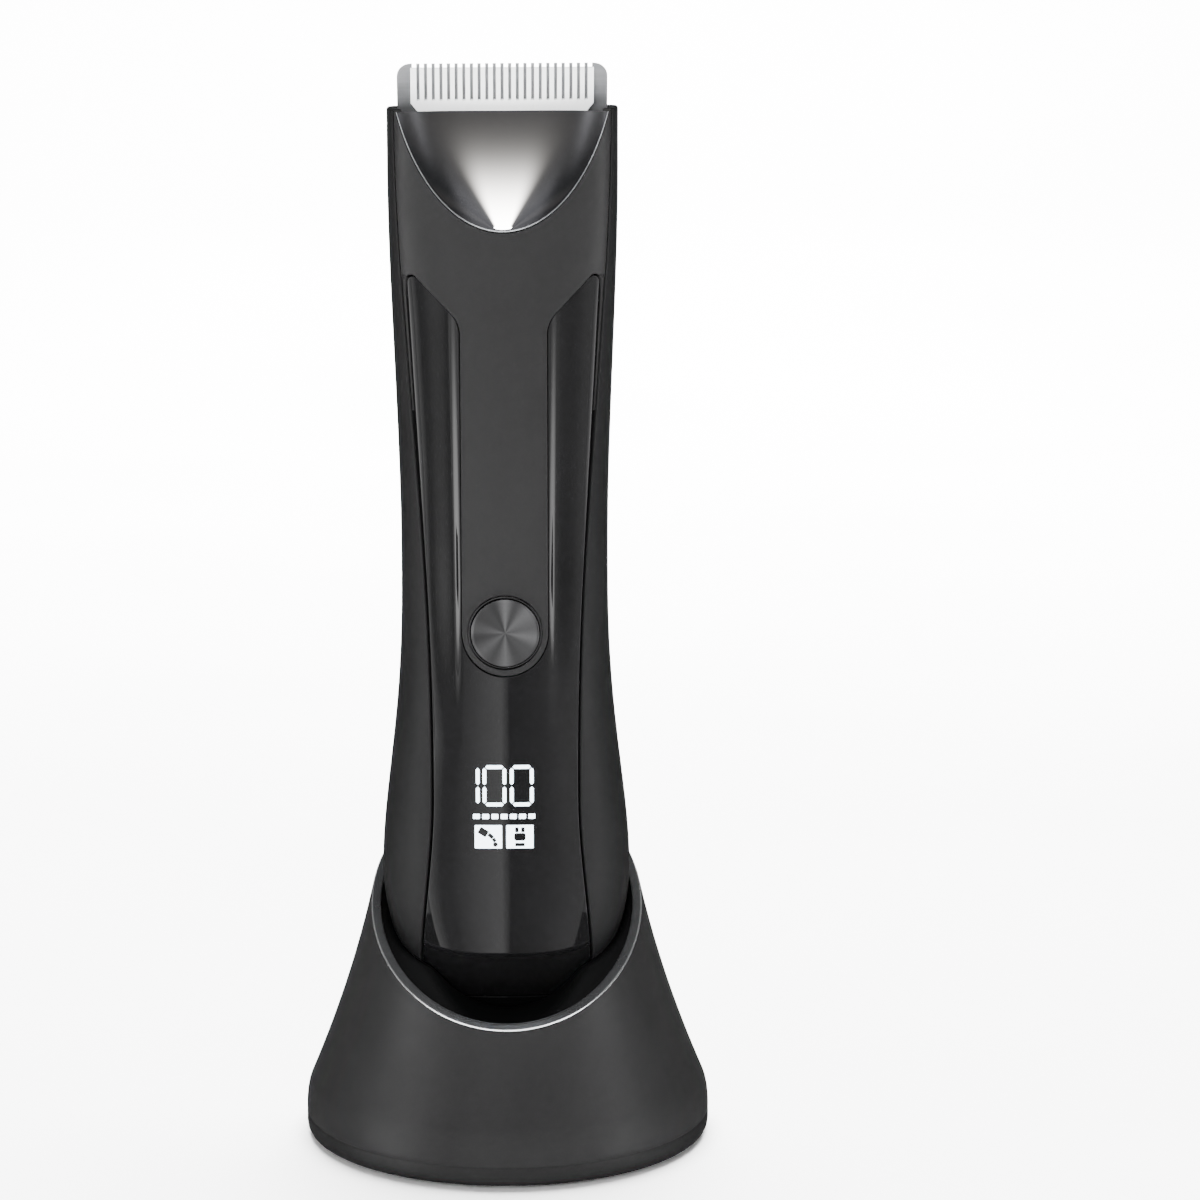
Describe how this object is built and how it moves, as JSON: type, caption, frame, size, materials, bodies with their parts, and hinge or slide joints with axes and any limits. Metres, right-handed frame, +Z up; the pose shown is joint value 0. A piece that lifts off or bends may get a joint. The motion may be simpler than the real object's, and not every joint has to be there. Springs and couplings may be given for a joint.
{
  "type": "beard trimmer in charging stand",
  "caption": "Slim cordless beard trimmer with ceramic cutter, light scoop, round power button and lit display, docked upright in a flared charging stand with a slanted rim.",
  "frame": {"origin": "centre of the stand's round foot, on the surface it rests on", "axes": "+Z up along the handle to the blades, -Y towards the front with the button and display, +X to the right of someone facing the front"},
  "size_m": [0.0688, 0.0688, 0.1816],
  "materials": {
    "stand_matte": "fine satin texture",
    "cup_black": "satin",
    "base_plastic": "matte",
    "ballast": "zinc grey",
    "screw_steel": "bright",
    "foot_rubber": "matte",
    "board_green": "satin",
    "contact_brass": "plated",
    "inlet_black": "satin",
    "wire_pvc": "satin",
    "shell_grey": "soft matte",
    "cover_matte": "soft matte",
    "gloss_black": "mirror gloss",
    "display_white": "backlit white",
    "module_white": "matte",
    "chip_black": "matte",
    "switch_metal": "satin",
    "bezel_black": "gloss",
    "chassis_grey": "matte",
    "cell_wrap": "shrink wrap",
    "tab_nickel": "bright",
    "motor_steel": "drawn steel",
    "magnet": "matte",
    "nylon": "natural",
    "seal_rubber": "matte",
    "scoop_gunmetal": "metallic gloss",
    "lens_clear": "frosted",
    "armature": "wound",
    "button_metal": "spun",
    "blade_steel": "ground",
    "ceramic": "satin ceramic",
    "spring_steel": "bright"
  },
  "bodies": {
    "stand": {"stand_shell": "stand_matte", "stand_cup": "cup_black", "stand_base": "base_plastic", "ballast_ring": "ballast", "base_screws": "screw_steel", "foot_ring": "foot_rubber", "dock_board": "board_green", "dock_plug": "inlet_black", "dock_contacts": "contact_brass", "stand_inlet": "inlet_black", "stand_inlet_pins": "contact_brass", "stand_wires": "wire_pvc"},
    "handle": {"rear_shell": "shell_grey", "front_cover": "cover_matte", "gloss_panel": "gloss_black", "display_digits": "display_white", "charge_bar": "display_white", "status_icons": "display_white", "display_module": "module_white", "main_board": "board_green", "board_chips": "chip_black", "tact_switch": "switch_metal", "button_bezel": "bezel_black", "chassis": "chassis_grey", "battery_cell": "cell_wrap", "battery_tabs": "tab_nickel", "motor_can": "motor_steel", "motor_magnets": "magnet", "motor_end_bell": "nylon", "motor_bracket": "chassis_grey", "bracket_screws": "screw_steel", "bulkhead": "chassis_grey", "drive_seal": "seal_rubber", "light_scoop": "scoop_gunmetal", "led_lens": "lens_clear", "led_board": "module_white", "bottom_cap": "gloss_black", "cap_gasket": "seal_rubber", "inlet_socket": "inlet_black", "inlet_pins": "contact_brass"},
    "button": {"power_button": "button_metal"},
    "rotor": {"rotor": "armature", "eccentric_cam": "nylon"},
    "blade_head": {"blade_carrier": "cup_black", "comb_blade": "blade_steel", "blade_screws": "screw_steel", "blade_springs": "spring_steel"},
    "cutter": {"ceramic_cutter": "ceramic", "cutter_yoke": "nylon"}
  },
  "joints": [
    {"name": "trimmer_lift", "type": "slide", "parent": "stand", "child": "handle", "axis": [0, 0, 1], "range_m": [0, 0.08]},
    {"name": "head_pull", "type": "slide", "parent": "handle", "child": "blade_head", "axis": [0, 0, 1], "range_m": [0, 0.02]},
    {"name": "rotor_turn", "type": "hinge", "parent": "handle", "child": "rotor", "pos_m": [0, -0.001, 0.13], "axis": [0, 0, 1], "range_deg": [-90, 90]},
    {"name": "cutter_slide", "type": "slide", "parent": "blade_head", "child": "cutter", "axis": [1, 0, 0], "range_m": [-0.00112, 0.00112]},
    {"name": "button_press", "type": "slide", "parent": "handle", "child": "button", "axis": [0, 1, 0], "range_m": [0, 0.0005], "stiffness_N_per_m": 1500}
  ],
  "couplings": [
    {"joint": "cutter_slide", "follows": "rotor_turn", "m_per_rad": 0.00070028}
  ]
}
